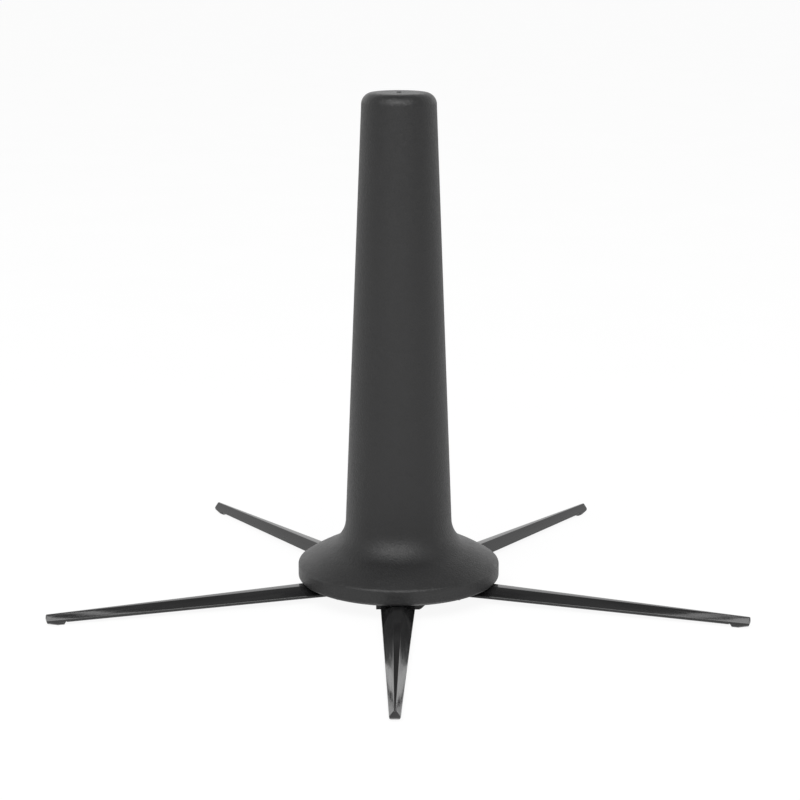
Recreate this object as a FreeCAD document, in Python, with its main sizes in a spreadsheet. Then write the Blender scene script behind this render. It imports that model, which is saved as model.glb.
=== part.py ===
import FreeCAD, Part
import Sketcher
import math
import os

# Folding stand for a flared wind instrument.
# Frame: millimetres, +Z up, origin on the peg's axis at floor level; the front
# leg points along -Y and right is +X.  A hollow tapered peg with a flared flange
# is pushed onto a hub; five roof-shaped legs are hinged in the hub and are held
# down by the peg's rim.  With the peg off, the legs fold up round the axis, slim
# enough for the hollow peg to be pushed back over them.

# Names ending in _x are distances from the axis, those ending in _z heights
# above the floor, and those ending in _half half widths across an arm or leg.
VALUES = [
    # hollow peg, outside
    ("rim_radius", 33.0), ("rim_under_z", 5.33), ("rim_round", 1.05),
    ("crease_z", 10.45), ("crease_round", 0.35),
    ("shoulder_radius", 60.0), ("cove_radius", 10.0),
    ("cove_top_x", 17.35), ("cove_top_z", 24.65),
    ("cone_top_x", 11.92), ("cone_top_z", 159.95), ("peg_top_z", 163.7),
    ("gate_radius", 0.75), ("gate_tall", 0.22),
    # hollow peg, inside
    ("mouth_radius", 30.7), ("mouth_top_z", 8.85), ("roof_x", 27.4), ("roof_z", 11.2),
    ("inner_cove_x", 20.4), ("inner_cove_z", 13.75), ("socket_x", 15.32),
    ("socket_low_z", 20.85), ("socket_high_z", 28.15),
    ("inner_top_x", 9.75), ("inner_top_z", 158.85), ("roof_end_x", 7.6), ("roof_end_z", 161.4),
    # ribs under the flange, and how far their upper corners sink into its wall
    ("rib_thick", 1.2), ("rib_low_z", 6.85), ("rib_in_x", 17.0), ("rib_out_x", 31.2),
    ("rib_bevel", 6.0), ("rib_in_rise", 5.2), ("rib_roof_sink_x", 0.5),
    ("rib_roof_sink_z", 0.6), ("rib_cove_sink_x", 0.4), ("rib_cove_sink_z", 0.7),
    # leg beams
    ("pivot_x", 15.0), ("pivot_z", 3.45), ("leg_count", 5),
    ("root_x", 24.2), ("tip_x", 116.3),
    ("root_half", 5.56), ("tip_half", 1.6),
    ("root_ridge_half", 1.63), ("tip_ridge_half", 0.26),
    ("root_top_z", 5.42), ("tip_top_z", 3.44),
    ("root_side_z", 2.98), ("tip_side_z", 1.72),
    ("root_low_z", 2.12), ("tip_low_z", 0.8), ("leg_edge_ease", 0.26),
    # leg tongues
    ("knuckle_radius", 2.2), ("tongue_half", 5.2), ("leg_bore", 1.30), ("leg_bore_spare", 4.0),
    ("tongue_flat", 1.5), ("tongue_slope_end", 3.7), ("tongue_overlap", 0.6),
    ("tongue_inset", 0.02),
    # leg feet
    ("foot_in_x", 110.75), ("heel_long", 2.0), ("toe_z", 0.65), ("foot_ramp", 0.8),
    ("foot_half", 1.58), ("foot_deep", 1.25), ("foot_end_round", 0.7), ("foot_edge_ease", 0.22),
    # hub base
    ("hub_low_z", 1.25), ("hub_top_z", 6.45), ("core_radius", 12.4), ("arm_overlap", 6.0),
    ("arm_half", 7.0), ("arm_end_x", 23.2), ("slot_half", 5.36), ("slot_in_x", 12.4),
    ("lip_x", 19.3), ("lip_top_z", 2.05), ("lip_overlap", 0.5),
    ("ear_hole", 1.26), ("ear_round", 1.0),
    ("web_out", 8.7), ("web_in_x", 17.6), ("web_top_z", 3.05), ("web_overlap", 0.5),
    ("web_low_wide", 0.35), ("web_edge", 0.5), ("web_rise", 0.4), ("web_end_gap", 0.6),
    ("screw_pocket", 4.3), ("screw_pocket_z", 3.85), ("screw_clear", 2.15),
    # collar
    ("collar_low_z", 6.47), ("collar_top_z", 25.25), ("collar_radius", 15.12),
    ("collar_bore", 9.6), ("collar_floor_z", 9.05), ("stop_radius", 11.5), ("stop_top_z", 16.05),
    ("finger_gap_half", 5.72), ("gap_reach", 2.5), ("collar_lead", 0.9),
    ("boss_radius", 4.2), ("boss_top_z", 15.25), ("boss_bore", 2.02), ("boss_roof", 0.6),
    ("key_low_z", 3.05), ("key_clear", 0.08), ("key_out_x", 14.6), ("key_overlap", 0.5),
    # hinge pins
    ("pin_radius", 1.25), ("pin_end", 7.0), ("pin_lead_long", 0.3), ("pin_lead_deep", 0.25),
    ("head_radius", 2.1), ("head_thick", 1.1), ("head_gap", 0.02),
    # screw
    ("screw_radius", 2.0), ("screw_head_radius", 3.7), ("screw_head_low_z", 1.65),
    ("head_edge_low", 0.45), ("head_edge_high", 1.2), ("screw_seat_gap", 0.01),
    ("screw_end_z", 14.25), ("screw_point", 0.8),
    ("drive_long", 4.2), ("drive_wide", 0.9), ("drive_deep", 1.3),
    # how far cuts run past the metal
    ("cut_spare", 1.0),
]
SIZES = dict(VALUES)

# Corner of the toe between sole and end, as shares of foot_end_round:
# in from the tip, and up from toe_z.
TOE_CORNER = (0.3, 0.28)
# Hinge pin head, from its seat outwards: shares of head_thick and head_radius.
PIN_HEAD = [(0.0, 1.0), (0.5, 0.93), (0.85, 0.62), (1.0, 0.25)]
# Screw head's underside: shares of screw_head_radius at its flat and its edge.
SCREW_HEAD_FLAT, SCREW_HEAD_EDGE = 0.55, 0.9
# Screw's end, as a share of screw_radius.
SCREW_END = 0.6

# Every piece is drawn with its first arm or leg along +X and is then turned
# about the axis: -90 degrees brings +X to the front, -Y.
FRONT = -90.0
LEG_STEP = 360.0 / SIZES["leg_count"]
HALF_STEP = LEG_STEP / 2.0

# Leg places, counterclockwise from the front as seen from above.
PLACES = [("Front", "front"), ("FrontRight", "front_right"), ("BackRight", "back_right"),
          ("BackLeft", "back_left"), ("FrontLeft", "front_left")]

# Sketcher's numbers for the start, end and centre of an element, for the
# horizontal axis (whose start is the origin) and for the vertical axis.
START, END, CENTRE = 1, 2, 3
ACROSS_AXIS, UP_AXIS = -1, -2

V = FreeCAD.Vector
Z_DIRECTION = V(0, 0, 1)

doc = FreeCAD.newDocument("FoldingBellStand")
sheet = doc.addObject("Spreadsheet::Sheet", "Dims")
for row, (name, value) in enumerate(VALUES, start=1):
    sheet.set("A%d" % row, name)
    sheet.set("B%d" % row, str(float(value)))
    sheet.setAlias("B%d" % row, name)
doc.recompute()


class Dimension:
    """A number with the spreadsheet expression that gives it."""
    def __init__(self, value, text):
        self.value = float(value)
        self.text = text

    def _join(self, other, sign, operation):
        if not isinstance(other, Dimension):
            other = Dimension(other, repr(float(other)))
        return Dimension(operation(self.value, other.value),
                         "(%s %s %s)" % (self.text, sign, other.text))

    def __add__(self, other):
        return self._join(other, "+", lambda a, b: a + b)

    def __sub__(self, other):
        return self._join(other, "-", lambda a, b: a - b)

    def __mul__(self, other):
        return self._join(other, "*", lambda a, b: a * b)

    def __neg__(self):
        return Dimension(-self.value, "(0 - %s)" % self.text)


ZERO = Dimension(0.0, "0")


def dim(name):
    return Dimension(SIZES[name], "Dims." + name)


# Sketches.  Points are (x, y) pairs of Dimensions unless said otherwise.

def origin_feature(body, role):
    return [f for f in body.Origin.OriginFeatures if f.Role == role][0]


def new_sketch(body, name, role, offset=None, turn=0.0):
    """A sketch on an origin plane, moved along its normal and turned about it."""
    sketch = body.newObject("Sketcher::SketchObject", name)
    sketch.AttachmentSupport = [(origin_feature(body, role), "")]
    sketch.MapMode = "FlatFace"
    if offset is not None:
        sketch.AttachmentOffset = FreeCAD.Placement(
            V(0, 0, offset.value), FreeCAD.Rotation(Z_DIRECTION, turn))
        sketch.setExpression("AttachmentOffset.Base.z", offset.text)
    return sketch


def constrain(sketch, kind, *args):
    return sketch.addConstraint(Sketcher.Constraint(kind, *args))


def drive(sketch, kind, args, size):
    """A dimensional constraint bound to the spreadsheet."""
    index = constrain(sketch, kind, *args, size.value)
    sketch.setExpression("Constraints[%d]" % index, size.text)


def fix_point(sketch, element, end, x, y):
    """Holds a vertex at x, y from the sketch's origin."""
    for kind, size, axis in (("DistanceX", x, UP_AXIS), ("DistanceY", y, ACROSS_AXIS)):
        if abs(size.value) < 1e-9:
            constrain(sketch, "PointOnObject", element, end, axis)
        else:
            drive(sketch, kind, (ACROSS_AXIS, START, element, end), size)


def numbers(point):
    return (point[0].value, point[1].value)


def add_line(sketch, start, end):
    """A free line between two points given as plain numbers."""
    return sketch.addGeometry(Part.LineSegment(V(*start, 0), V(*end, 0)))


def add_arc(sketch, start, end, radius, centre):
    """A free counterclockwise arc, given in plain numbers."""
    angles = [math.atan2(point[1] - centre[1], point[0] - centre[0]) for point in (start, end)]
    ring = Part.Circle(V(*centre, 0), Z_DIRECTION, radius)
    return sketch.addGeometry(Part.ArcOfCircle(ring, *angles))


def add_chain(sketch, previous, points):
    """Runs lines through driven points, on from the end of a previous element."""
    for start, end in zip(points, points[1:]):
        edge = add_line(sketch, numbers(start), numbers(end))
        constrain(sketch, "Coincident", previous, END, edge, START)
        fix_point(sketch, edge, END, *end)
        previous = edge
    return previous


def polygon(body, name, role, points, offset=None, turn=0.0):
    """A sketch with a closed outline of straight lines through driven vertices."""
    sketch = new_sketch(body, name, role, offset, turn)
    count = len(points)
    for i in range(count):
        add_line(sketch, numbers(points[i]), numbers(points[(i + 1) % count]))
    for i in range(count):
        constrain(sketch, "Coincident", i, END, (i + 1) % count, START)
    for i, point in enumerate(points):
        fix_point(sketch, i, START, *point)
    return sketch


def rectangle(body, name, z, x_in, x_out, half):
    """A level sketch with a rectangle that straddles the +X direction."""
    return polygon(body, name, "XY_Plane",
                   [(x_in, -half), (x_out, -half), (x_out, half), (x_in, half)], z)


def circle(body, name, role, x, y, radius, offset=None):
    sketch = new_sketch(body, name, role, offset)
    ring = sketch.addGeometry(
        Part.Circle(V(x.value, y.value, 0), Z_DIRECTION, radius.value))
    fix_point(sketch, ring, CENTRE, x, y)
    drive(sketch, "Radius", (ring,), radius)
    return sketch


def disc(body, name, z, radius):
    """A level sketch with a circle round the axis."""
    return circle(body, name, "XY_Plane", ZERO, ZERO, radius, z)


# Features.

def new_feature(body, kind, name, adds, **settings):
    """Adds a feature as the body's tip and sees that it adds or cuts material."""
    doc.recompute()
    before = body.Tip.Shape.Volume if body.Tip else 0.0
    feature = body.newObject("PartDesign::" + kind, name)
    for prop, value in settings.items():
        if isinstance(value, Dimension):
            setattr(feature, prop, value.value)
            feature.setExpression(prop, value.text)
        else:
            setattr(feature, prop, value)
    body.Tip = feature
    doc.recompute()
    gain = feature.Shape.Volume - before
    if not (gain if adds else -gain) > 1e-6:
        raise RuntimeError("%s %s nothing" % (name, "added" if adds else "cut"))
    return feature


def pad(body, name, sketch, length, midplane=False):
    return new_feature(body, "Pad", name, True, Profile=sketch, Length=length,
                       Midplane=midplane)


def pocket(body, name, sketch, length, midplane=False):
    """Cuts along the sketch's normal, or to both sides of the sketch."""
    return new_feature(body, "Pocket", name, False, Profile=sketch, Length=length,
                       Midplane=midplane, Reversed=not midplane)


def revolve(body, name, sketch, axis):
    return new_feature(body, "Revolution", name, True, Profile=sketch,
                       ReferenceAxis=axis, Angle=360.0)


def z_axis(body):
    return (origin_feature(body, "Z_Axis"), [""])


def polar(body, name, features, adds):
    """Repeats features once for each leg."""
    pattern_settings = dict(Originals=features, Axis=z_axis(body), Angle=360.0,
                            Occurrences=int(SIZES["leg_count"]))
    doc.recompute()
    pattern = new_feature(body, "PolarPattern", name, adds, **pattern_settings)
    pattern.setExpression("Occurrences", "Dims.leg_count")
    doc.recompute()


def dress(body, name, kind, size, test):
    """A fillet or chamfer on those of the tip's edges that pass a test."""
    doc.recompute()
    base = body.Tip
    names = []
    for i, edge in enumerate(base.Shape.Edges, start=1):
        # guards against degenerate edges, which have no curve to evaluate
        try:
            middle = edge.valueAt((edge.FirstParameter + edge.LastParameter) / 2.0)
        except Exception:
            continue
        if test(edge, middle):
            names.append("Edge%d" % i)
    if not names:
        raise RuntimeError("no edges for " + name)
    size_setting = {"Fillet": "Radius", "Chamfer": "Size"}[kind]
    new_feature(body, kind, name, False, Base=(base, names), **{size_setting: size})


def from_axis(point):
    return math.hypot(point.x, point.y)


def new_body(name, label):
    body = doc.addObject("PartDesign::Body", name)
    body.Label = label
    return body


def turn_body(body, degrees):
    body.Placement = FreeCAD.Placement(V(0, 0, 0), FreeCAD.Rotation(Z_DIRECTION, degrees))


def add_peg_outside(sketch):
    """Adds shoulder, cove, cone and crown from the crease up, tangent at their joints."""
    crease = (SIZES["rim_radius"], SIZES["crease_z"])
    cone_low = (SIZES["cove_top_x"], SIZES["cove_top_z"])
    cone_top = (SIZES["cone_top_x"], SIZES["cone_top_z"])
    shoulder_radius, cove_radius = SIZES["shoulder_radius"], SIZES["cove_radius"]
    # outward normal of the cone
    cone_long = math.dist(cone_low, cone_top)
    normal_x = (cone_top[1] - cone_low[1]) / cone_long
    normal_z = (cone_low[0] - cone_top[0]) / cone_long
    cove_centre = (cone_low[0] + cove_radius * normal_x, cone_low[1] + cove_radius * normal_z)
    # the shoulder's centre is one radius from the crease and the sum of both
    # radii from the cove's centre; of the two such places it is the lower
    reach = shoulder_radius + cove_radius
    span = math.dist(crease, cove_centre)
    unit_x = (cove_centre[0] - crease[0]) / span
    unit_z = (cove_centre[1] - crease[1]) / span
    along = (shoulder_radius ** 2 - reach ** 2 + span ** 2) / (2 * span)
    aside = math.sqrt(shoulder_radius ** 2 - along ** 2)
    shoulder_centre = (crease[0] + along * unit_x - aside * unit_z,
                       crease[1] + along * unit_z + aside * unit_x)
    joint = tuple(a + (b - a) * shoulder_radius / reach
                  for a, b in zip(shoulder_centre, cove_centre))
    # the crown is tangent to the cone and level at the peg's top
    crown_radius = (SIZES["peg_top_z"] - cone_top[1]) / (1.0 - normal_z)
    crown_centre = (cone_top[0] - crown_radius * normal_x, cone_top[1] - crown_radius * normal_z)
    crown_top = (crown_centre[0], SIZES["peg_top_z"])

    shoulder = add_arc(sketch, crease, joint, shoulder_radius, shoulder_centre)
    cove = add_arc(sketch, cone_low, joint, cove_radius, cove_centre)
    cone = add_line(sketch, cone_low, cone_top)
    crown = add_arc(sketch, cone_top, crown_top, crown_radius, crown_centre)
    lid = add_line(sketch, crown_top, (0, crown_top[1]))
    return shoulder, cove, cone, crown, lid


def draw_peg_wall(body):
    """Half section of the peg's wall, from the mouth round the outside and back inside."""
    sketch = new_sketch(body, "PegWall", "XZ_Plane")
    rim, under, rim_round = dim("rim_radius"), dim("rim_under_z"), dim("rim_round")
    mouth = (dim("mouth_radius"), under)
    under_out = (rim - rim_round, under)
    rim_low = (rim, under + rim_round)
    crease = (rim, dim("crease_z"))
    inner = [(ZERO, dim("roof_end_z"))] + [(dim(x), dim(z)) for x, z in (
        ("roof_end_x", "roof_end_z"), ("inner_top_x", "inner_top_z"),
        ("socket_x", "socket_high_z"), ("socket_x", "socket_low_z"),
        ("inner_cove_x", "inner_cove_z"), ("roof_x", "roof_z"),
        ("mouth_radius", "mouth_top_z"))]

    under_line = add_line(sketch, numbers(mouth), numbers(under_out))
    under_arc = add_arc(sketch, numbers(under_out), numbers(rim_low), rim_round.value,
                        (under_out[0].value, rim_low[1].value))
    rim_wall = add_line(sketch, numbers(rim_low), numbers(crease))
    shoulder, cove, cone, crown, lid = add_peg_outside(sketch)
    axis = add_line(sketch, (0, SIZES["peg_top_z"]), numbers(inner[0]))
    last = add_chain(sketch, axis, inner)
    mouth_wall = add_line(sketch, numbers(inner[-1]), numbers(mouth))
    constrain(sketch, "Coincident", last, END, mouth_wall, START)
    constrain(sketch, "Coincident", mouth_wall, END, under_line, START)

    fix_point(sketch, under_line, START, *mouth)
    fix_point(sketch, under_line, END, *under_out)
    constrain(sketch, "Tangent", under_line, END, under_arc, START)
    constrain(sketch, "Tangent", under_arc, END, rim_wall, START)
    drive(sketch, "Radius", (under_arc,), rim_round)
    constrain(sketch, "Coincident", rim_wall, END, shoulder, START)
    fix_point(sketch, shoulder, START, *crease)
    drive(sketch, "Radius", (shoulder,), dim("shoulder_radius"))
    # the cove arc starts at the cone, so its end joins the shoulder
    constrain(sketch, "Tangent", shoulder, END, cove, END)
    drive(sketch, "Radius", (cove,), dim("cove_radius"))
    constrain(sketch, "Tangent", cove, START, cone, START)
    fix_point(sketch, cone, START, dim("cove_top_x"), dim("cove_top_z"))
    fix_point(sketch, cone, END, dim("cone_top_x"), dim("cone_top_z"))
    constrain(sketch, "Tangent", cone, END, crown, START)
    constrain(sketch, "Tangent", crown, END, lid, START)
    constrain(sketch, "Horizontal", lid)
    drive(sketch, "DistanceY", (ACROSS_AXIS, START, crown, END), dim("peg_top_z"))
    constrain(sketch, "Coincident", lid, END, axis, START)
    constrain(sketch, "PointOnObject", axis, START, UP_AXIS)
    fix_point(sketch, axis, END, *inner[0])
    return sketch


def make_peg():
    """Hollow peg: one revolved wall, a gate mark on top and ribs under the flange."""
    body = new_body("PegShell", "peg_shell")
    revolve(body, "PegTurned", draw_peg_wall(body), z_axis(body))
    # the rim's upper edge is eased where the wall meets the shoulder
    dress(body, "RimEdge", "Fillet", dim("crease_round"),
          lambda edge, middle: abs(from_axis(middle) - SIZES["rim_radius"]) < 0.02
          and abs(middle.z - SIZES["crease_z"]) < 0.02)
    # moulding gate
    pad(body, "Gate", disc(body, "GateRound", dim("peg_top_z"), dim("gate_radius")),
        dim("gate_tall"))
    # stiffening ribs, midway between the legs
    low, rib_in, rib_out = dim("rib_low_z"), dim("rib_in_x"), dim("rib_out_x")
    bevel, sink_z = dim("rib_bevel"), dim("rib_roof_sink_z")
    side = polygon(body, "RibSide", "XZ_Plane", [
        (rib_in, low + bevel), (rib_in + bevel, low), (rib_out, low),
        (rib_out, dim("mouth_top_z") + sink_z),
        (dim("roof_x") + dim("rib_roof_sink_x"), dim("roof_z") + sink_z),
        (dim("inner_cove_x") + dim("rib_cove_sink_x"),
         dim("inner_cove_z") + dim("rib_cove_sink_z")),
        (rib_in, dim("inner_cove_z") + dim("rib_in_rise"))])
    rib = pad(body, "Rib", side, dim("rib_thick"), midplane=True)
    polar(body, "Ribs", [rib], adds=True)
    turn_body(body, FRONT + HALF_STEP)
    return body


def leg_section(body, name, end):
    """Roof shape: flat ridge, sloped facets, short upright sides, eased lower edges."""
    half, ridge = dim(end + "_half"), dim(end + "_ridge_half")
    low, side, top = dim(end + "_low_z"), dim(end + "_side_z"), dim(end + "_top_z")
    ease = dim("leg_edge_ease")
    return polygon(body, name, "YZ_Plane", [
        (-half + ease, low), (half - ease, low), (half, low + ease), (half, side),
        (ridge, top), (-ridge, top), (-half, side), (-half, low + ease)], dim(end + "_x"))


def add_foot(body, name):
    """A foot that stands on its flat heel; the sole rises from there to the toe."""
    foot_in, tip, toe = dim("foot_in_x"), dim("tip_x"), dim("toe_z")
    ramp, end_round = dim("foot_ramp"), dim("foot_end_round")
    corner_in, corner_up = TOE_CORNER
    side = polygon(body, name + "FootSide", "XZ_Plane", [
        (foot_in, ZERO), (foot_in + dim("heel_long"), ZERO), (tip - end_round, toe),
        (tip - end_round * corner_in, toe + end_round * corner_up), (tip, toe + end_round),
        (foot_in - ramp, dim("foot_deep")), (foot_in - ramp, ramp)])
    pad(body, name + "Foot", side, dim("foot_half") * 2.0, midplane=True)
    dress(body, name + "FootEdges", "Chamfer", dim("foot_edge_ease"),
          lambda edge, middle: abs(middle.z) < 1e-4
          and abs(abs(middle.y) - SIZES["foot_half"]) < 0.02)


def draw_tongue(body, name):
    """Side view of the hinge tongue, with its round knuckle towards the axis."""
    sketch = new_sketch(body, name, "XZ_Plane")
    pivot_x, pivot_z, radius = dim("pivot_x"), dim("pivot_z"), dim("knuckle_radius")
    root_low, inset = dim("root_low_z"), dim("tongue_inset")
    outer_x = dim("root_x") + dim("tongue_overlap")
    under = [(pivot_x, pivot_z - radius), (pivot_x + dim("tongue_flat"), pivot_z - radius),
             (pivot_x + dim("tongue_slope_end"), root_low + inset), (outer_x, root_low),
             (outer_x, dim("root_top_z") - inset)]
    knuckle_top = (pivot_x, pivot_z + radius)
    ring = Part.Circle(V(pivot_x.value, pivot_z.value, 0), Z_DIRECTION, radius.value)
    arc = sketch.addGeometry(Part.ArcOfCircle(ring, math.pi / 2, 3 * math.pi / 2))
    last = add_chain(sketch, arc, under)
    upper = add_line(sketch, numbers(under[-1]), numbers(knuckle_top))
    constrain(sketch, "Coincident", last, END, upper, START)
    constrain(sketch, "Coincident", upper, END, arc, START)
    fix_point(sketch, arc, CENTRE, pivot_x, pivot_z)
    fix_point(sketch, arc, START, *knuckle_top)
    constrain(sketch, "Vertical", arc, START, arc, END)
    return sketch


def make_leg(name, label, turn):
    """Roof-shaped tapering beam, flat foot, and hinge tongue with a bored knuckle."""
    body = new_body(name, label)
    root = leg_section(body, name + "Root", "root")
    tip = leg_section(body, name + "Tip", "tip")
    new_feature(body, "AdditiveLoft", name + "Beam", True, Profile=root, Sections=[tip],
                Ruled=True)
    add_foot(body, name)
    wide = dim("tongue_half") * 2.0
    pad(body, name + "Tongue", draw_tongue(body, name + "TongueSide"), wide, midplane=True)
    bore = circle(body, name + "BoreRound", "XZ_Plane", dim("pivot_x"), dim("pivot_z"),
                  dim("leg_bore"))
    pocket(body, name + "Bore", bore, wide + dim("leg_bore_spare"), midplane=True)
    turn_body(body, FRONT + turn)
    return body


def make_hub_base():
    """Die-cast star: a core and five forked arms that carry the hinge pins."""
    body = new_body("HubBase", "hub_base")
    low, top, spare = dim("hub_low_z"), dim("hub_top_z"), dim("cut_spare")
    arm_half, arm_end, slot_half = dim("arm_half"), dim("arm_end_x"), dim("slot_half")
    through = top - low + spare
    pad(body, "HubCore", disc(body, "HubCoreRound", low, dim("core_radius")), top - low)
    plan = rectangle(body, "HubArmPlan", low, dim("core_radius") - dim("arm_overlap"),
                     arm_end, arm_half)
    arm = pad(body, "HubArm", plan, top - low)
    # sloped web low on the arm's counterclockwise flank
    web_in, web_out, web_top = dim("web_in_x"), dim("web_out"), dim("web_top_z")
    buried = arm_half - dim("web_overlap")
    section = polygon(body, "HubWebEnd", "YZ_Plane", [
        (buried, low), (arm_half + dim("web_low_wide"), low),
        (web_out, web_top - dim("web_edge")), (web_out, web_top),
        (buried, web_top + dim("web_rise"))], web_in)
    web = pad(body, "HubWeb", section, arm_end - web_in - dim("web_end_gap"))
    polar(body, "HubArms", [arm, web], adds=True)
    # slot for the leg's tongue, open below as far as the stop lip
    plan = rectangle(body, "HubSlotPlan", low, dim("slot_in_x"), dim("lip_x"), slot_half)
    slot = pocket(body, "HubSlot", plan, through)
    plan = rectangle(body, "HubMouthPlan", dim("lip_top_z"), dim("lip_x") - dim("lip_overlap"),
                     arm_end + spare, slot_half)
    mouth = pocket(body, "HubMouth", plan, through)
    ring = circle(body, "HubPinRound", "XZ_Plane", dim("pivot_x"), dim("pivot_z"),
                  dim("ear_hole"))
    hole = pocket(body, "HubPinHole", ring, arm_half * 2.0 + spare, midplane=True)
    polar(body, "HubSlots", [slot, mouth, hole], adds=False)
    # seat and hole for the collar's screw
    pocket(body, "HubScrewSeat", disc(body, "HubScrewSeatRound", low, dim("screw_pocket")),
           dim("screw_pocket_z") - low)
    pocket(body, "HubScrewHole", disc(body, "HubScrewRound", low, dim("screw_clear")), through)
    # the upper edges at the ears' outer ends are rounded off
    ear_thick = arm_half.value - slot_half.value
    ear_reach = math.hypot(arm_end.value, (arm_half.value + slot_half.value) / 2)
    dress(body, "HubEarRound", "Fillet", dim("ear_round"),
          lambda edge, middle: abs(middle.z - top.value) < 1e-4
          and abs(from_axis(middle) - ear_reach) < 0.05
          and abs(edge.Length - ear_thick) < 0.05)
    turn_body(body, FRONT)
    return body


def add_collar_keys(body):
    """Keys that drop between the hub's arms and stop the collar turning."""
    key_low, clear = dim("key_low_z"), dim("key_clear")
    # a wedge on the bisector of two arms, clear of both flanks and of the core
    half_angle = math.radians(HALF_STEP)
    flank = (dim("arm_half") + clear) * (1.0 / math.cos(half_angle))
    inner, outer = dim("core_radius") + clear, dim("key_out_x")
    half_in = inner * math.tan(half_angle) - flank
    half_out = outer * math.tan(half_angle) - flank
    plan = polygon(body, "CollarKeyPlan", "XY_Plane", [
        (inner, -half_in), (outer, -half_out), (outer, half_out), (inner, half_in)],
        key_low, turn=HALF_STEP)
    key = pad(body, "CollarKey", plan, dim("collar_low_z") - key_low + dim("key_overlap"))
    polar(body, "CollarKeys", [key], adds=True)


def make_collar():
    """Castellated ring on the hub: its five fingers fit inside the hollow peg."""
    body = new_body("HubCollar", "hub_collar")
    low, top, spare = dim("collar_low_z"), dim("collar_top_z"), dim("cut_spare")
    radius, floor = dim("collar_radius"), dim("collar_floor_z")
    stop_radius, stop_top = dim("stop_radius"), dim("stop_top_z")
    gap_half = dim("finger_gap_half")
    pad(body, "CollarBlank", disc(body, "CollarRound", low, radius), top - low)
    dress(body, "CollarLead", "Chamfer", dim("collar_lead"),
          lambda edge, middle: abs(middle.z - top.value) < 1e-4)
    pocket(body, "CollarWideBore", disc(body, "CollarStopRound", stop_top, stop_radius),
           top - stop_top + spare)
    pocket(body, "CollarBore", disc(body, "CollarBoreRound", floor, dim("collar_bore")),
           top - floor + spare)
    plan = rectangle(body, "CollarGapPlan", low, stop_radius, radius + spare, gap_half)
    gap = pocket(body, "CollarGap", plan, stop_top - low)
    # above the stop ring the gaps go right through, so the folded legs lean in freely
    plan = rectangle(body, "CollarOpenPlan", stop_top, stop_radius - dim("gap_reach"),
                     radius + spare, gap_half)
    opened = pocket(body, "CollarOpen", plan, top - stop_top + spare)
    polar(body, "CollarGaps", [gap, opened], adds=False)
    # boss with a blind bore for the screw
    boss_tall = dim("boss_top_z") - low
    pad(body, "CollarBoss", disc(body, "CollarBossRound", low, dim("boss_radius")), boss_tall)
    pocket(body, "CollarTap", disc(body, "CollarBossBore", low, dim("boss_bore")),
           boss_tall - dim("boss_roof"))
    add_collar_keys(body)
    turn_body(body, FRONT)
    return body


def make_pin(name, label, turn):
    """Headed hinge pin, pressed through both ears of one arm."""
    body = new_body(name, label)
    # drawn along Y at the pivot's height, with its head towards +Y
    end, seat = -dim("pin_end"), dim("arm_half") + dim("head_gap")
    radius, z = dim("pin_radius"), dim("pivot_z")
    head_radius, head_thick = dim("head_radius"), dim("head_thick")
    outline = [(end, z), (end, z + radius - dim("pin_lead_deep")),
               (end + dim("pin_lead_long"), z + radius), (seat, z + radius)]
    outline += [(seat + head_thick * out, z + head_radius * up) for out, up in PIN_HEAD]
    outline.append((seat + head_thick, z))
    sketch = polygon(body, name + "Half", "YZ_Plane", outline, dim("pivot_x"))
    doc.recompute()
    # the last edge closes the outline along the pin's axis
    revolve(body, name + "Turned", sketch, (sketch, ["Edge%d" % len(outline)]))
    turn_body(body, FRONT + turn)
    return body


def make_screw():
    """Pan-head screw from below, through the hub and into the collar's boss."""
    body = new_body("CollarScrew", "collar_screw")
    radius, head = dim("screw_radius"), dim("screw_head_radius")
    low, end = dim("screw_head_low_z"), dim("screw_end_z")
    seat = dim("screw_pocket_z") - dim("screw_seat_gap")
    sketch = polygon(body, "ScrewHalf", "XZ_Plane", [
        (ZERO, low), (head * SCREW_HEAD_FLAT, low),
        (head * SCREW_HEAD_EDGE, low + dim("head_edge_low")),
        (head, low + dim("head_edge_high")), (head, seat), (radius, seat),
        (radius, end - dim("screw_point")), (radius * SCREW_END, end), (ZERO, end)])
    revolve(body, "ScrewTurned", sketch, z_axis(body))
    # cross-shaped drive recess
    arm, half = dim("drive_long") * 0.5, dim("drive_wide") * 0.5
    plan = polygon(body, "ScrewDrivePlan", "XY_Plane", [
        (-arm, -half), (-half, -half), (-half, -arm), (half, -arm), (half, -half),
        (arm, -half), (arm, half), (half, half), (half, arm), (-half, arm),
        (-half, half), (-arm, half)], low)
    pocket(body, "ScrewDrive", plan, dim("drive_deep"))
    return body


parts = [make_peg(), make_hub_base(), make_collar(), make_screw()]
for i, (name, label) in enumerate(PLACES):
    parts.append(make_leg("Leg" + name, "leg_" + label, i * LEG_STEP))
    parts.append(make_pin("Pin" + name, "pin_" + label, i * LEG_STEP))

doc.recompute()
for obj in doc.Objects:
    if "Invalid" in obj.State or "Error" in obj.State:
        raise RuntimeError("%s failed: %s" % (obj.Name, obj.State))
for body in parts:
    shape = body.Shape
    if shape.isNull() or not shape.isValid() or len(shape.Solids) != 1:
        raise RuntimeError("%s is not one valid solid (%d)" % (body.Label, len(shape.Solids)))

os.makedirs("parts", exist_ok=True)
for old in os.listdir("parts"):
    if old.endswith(".step"):
        os.remove(os.path.join("parts", old))
for body in parts:
    body.Shape.exportStep(os.path.join("parts", body.Label + ".step"))
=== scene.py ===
"""A round cone-shaped peg standing on a hub with five cast legs, 72 degrees apart.

The peg's axis is Z and the floor lies just under z = 0. The front leg points to -Y
and the right is +X. Shapes are in millimetres, scaled by MM as they become meshes;
lights and camera are in metres.
"""
import math
import random

import bmesh
import bpy
from mathutils import Matrix, Vector


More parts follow.
